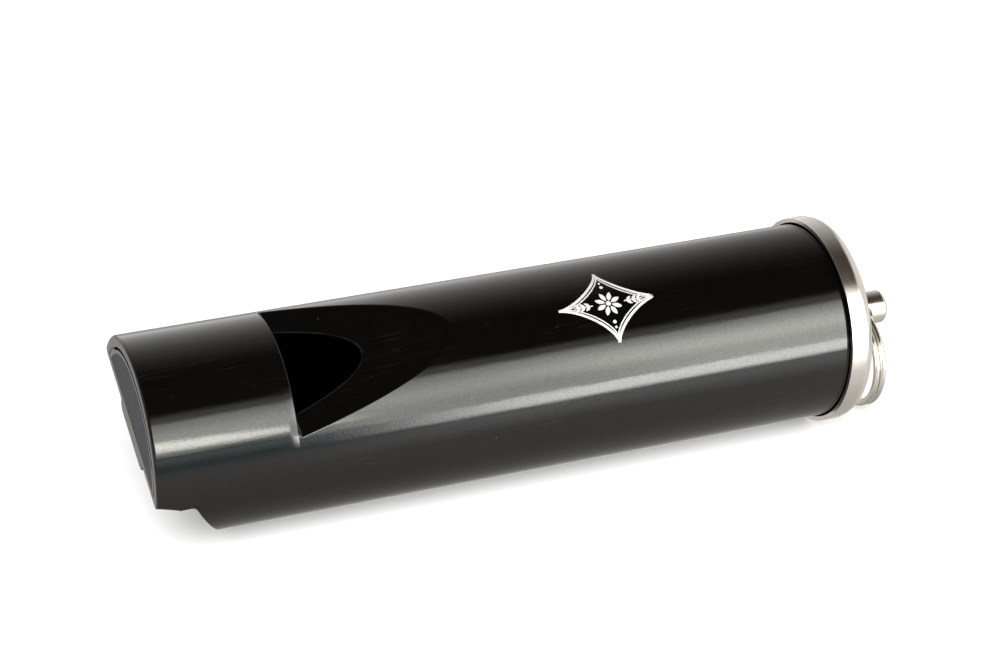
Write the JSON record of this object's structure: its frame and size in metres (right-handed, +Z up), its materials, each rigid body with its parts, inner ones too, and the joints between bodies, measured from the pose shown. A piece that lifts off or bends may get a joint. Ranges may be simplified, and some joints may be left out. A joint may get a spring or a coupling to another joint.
{
  "type": "bird call",
  "caption": "Plunger-tuned whistle for calling birds: black moulded barrel with beak mouthpiece and sound window, plated end cap, sliding rod with a split ring for a lanyard.",
  "frame": {"origin": "under the middle of the call's length, on the surface it lies on", "axes": "+X along the barrel from the mouth to the cap and rod, +Z up; the window is rolled from up towards -Y"},
  "size_m": [0.1308, 0.0346, 0.0345],
  "materials": {
    "barrel_plastic": "polished black moulding with fine scratches",
    "plug_plastic": "black moulding, slightly duller",
    "cap_nickel": "bright nickel plate",
    "rod_nickel": "bright nickel plate",
    "ring_nickel": "bright nickel plate",
    "inner_plastic": "plain black moulding",
    "felt": "pressed wool felt",
    "nut_brass": "turned brass"
  },
  "bodies": {
    "call": {"barrel": "barrel_plastic", "fipple_plug": "plug_plastic", "end_cap": "cap_nickel", "rod_guide": "inner_plastic", "guide_felt": "felt"},
    "seal": {"piston_seal": "felt"},
    "plunger": {"piston_nut": "nut_brass", "piston_front": "inner_plastic", "piston_back": "inner_plastic", "plunger_rod": "rod_nickel"},
    "ring": {"split_ring": "ring_nickel"}
  },
  "joints": [
    {"name": "plunger_slide", "type": "slide", "parent": "call", "child": "seal", "axis": [1, 0, 0], "range_m": [-0.0015, 0.03]},
    {"name": "plunger_turn", "type": "hinge", "parent": "seal", "child": "plunger", "pos_m": [0, 0, 0.01726], "axis": [1, 0, 0], "continuous": true},
    {"name": "ring_swing", "type": "hinge", "parent": "plunger", "child": "ring", "pos_m": [0.06042, 0, 0.01726], "axis": [0, -1, 0], "range_deg": [-9, 189]}
  ]
}
